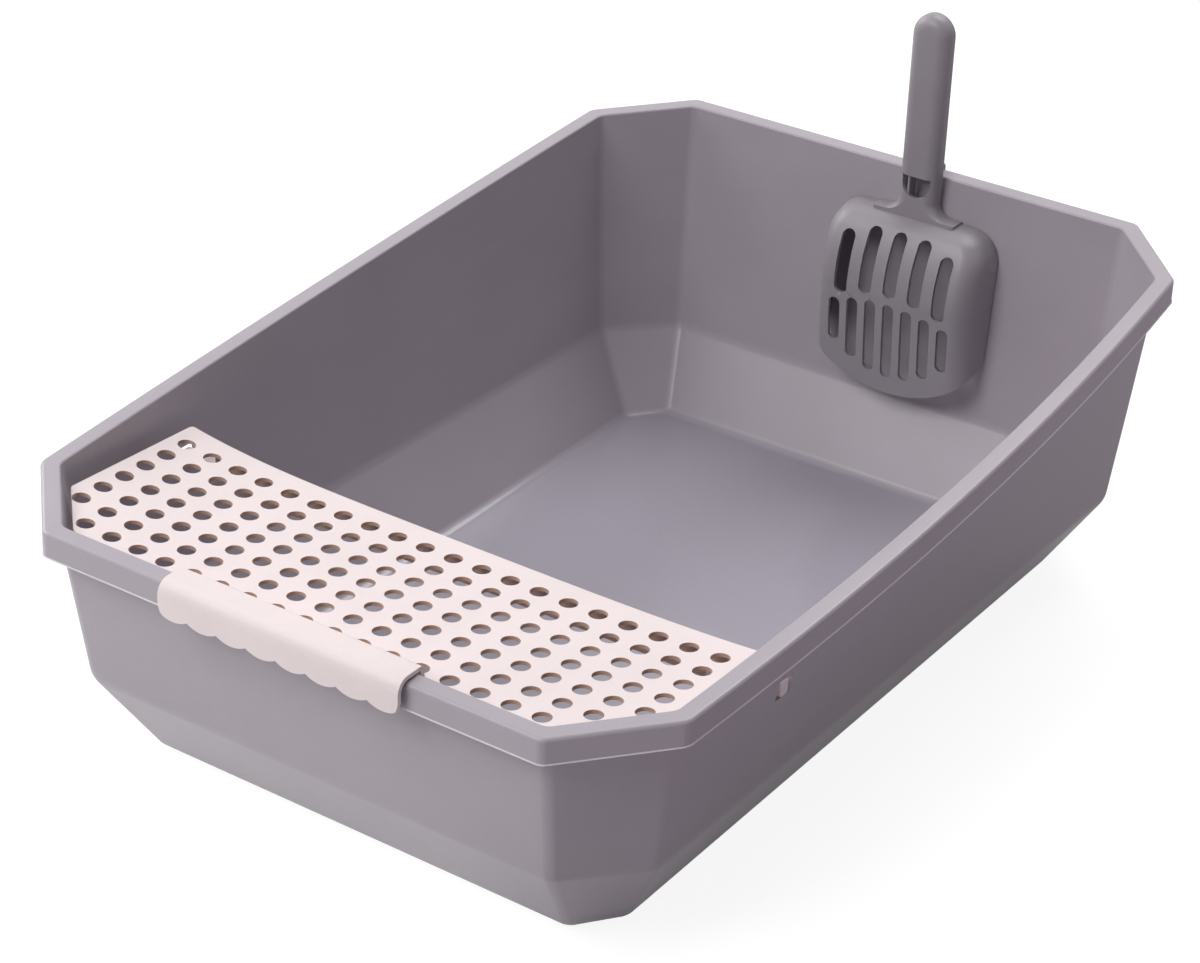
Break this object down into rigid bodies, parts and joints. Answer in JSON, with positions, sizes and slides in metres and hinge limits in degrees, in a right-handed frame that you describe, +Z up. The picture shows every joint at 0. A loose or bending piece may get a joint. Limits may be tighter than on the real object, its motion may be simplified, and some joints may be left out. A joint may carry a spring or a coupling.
{
  "type": "drawer litter box",
  "caption": "Rectangular cat litter pan with cut corners, a rim that rises to the rear, a perforated entry step hooked over the low front rim and a slotted scoop on the rear rim.",
  "frame": {"origin": "on the pan's flat bottom, under the centre of its rim", "axes": "+X to the right seen from the low front, +Y from the low front rim to the high rear rim, +Z up"},
  "size_m": [0.373, 0.5377, 0.2665],
  "materials": {
    "grey_plastic": "satin mauve-grey polypropylene",
    "off_white_plastic": "matte off-white polypropylene",
    "scoop_plastic": "satin mauve-grey polypropylene"
  },
  "bodies": {
    "pan": {"litter_pan": "grey_plastic"},
    "step": {"entry_step": "off_white_plastic"},
    "scoop": {"litter_scoop": "scoop_plastic"}
  },
  "joints": [
    {"name": "step_hinge", "type": "hinge", "parent": "pan", "child": "step", "pos_m": [0, -0.134, 0.107], "axis": [-1, 0, 0], "range_deg": [0, 90]},
    {"name": "scoop_lift", "type": "slide", "parent": "pan", "child": "scoop", "axis": [0, 0, 1], "range_m": [0, 0.16]}
  ]
}
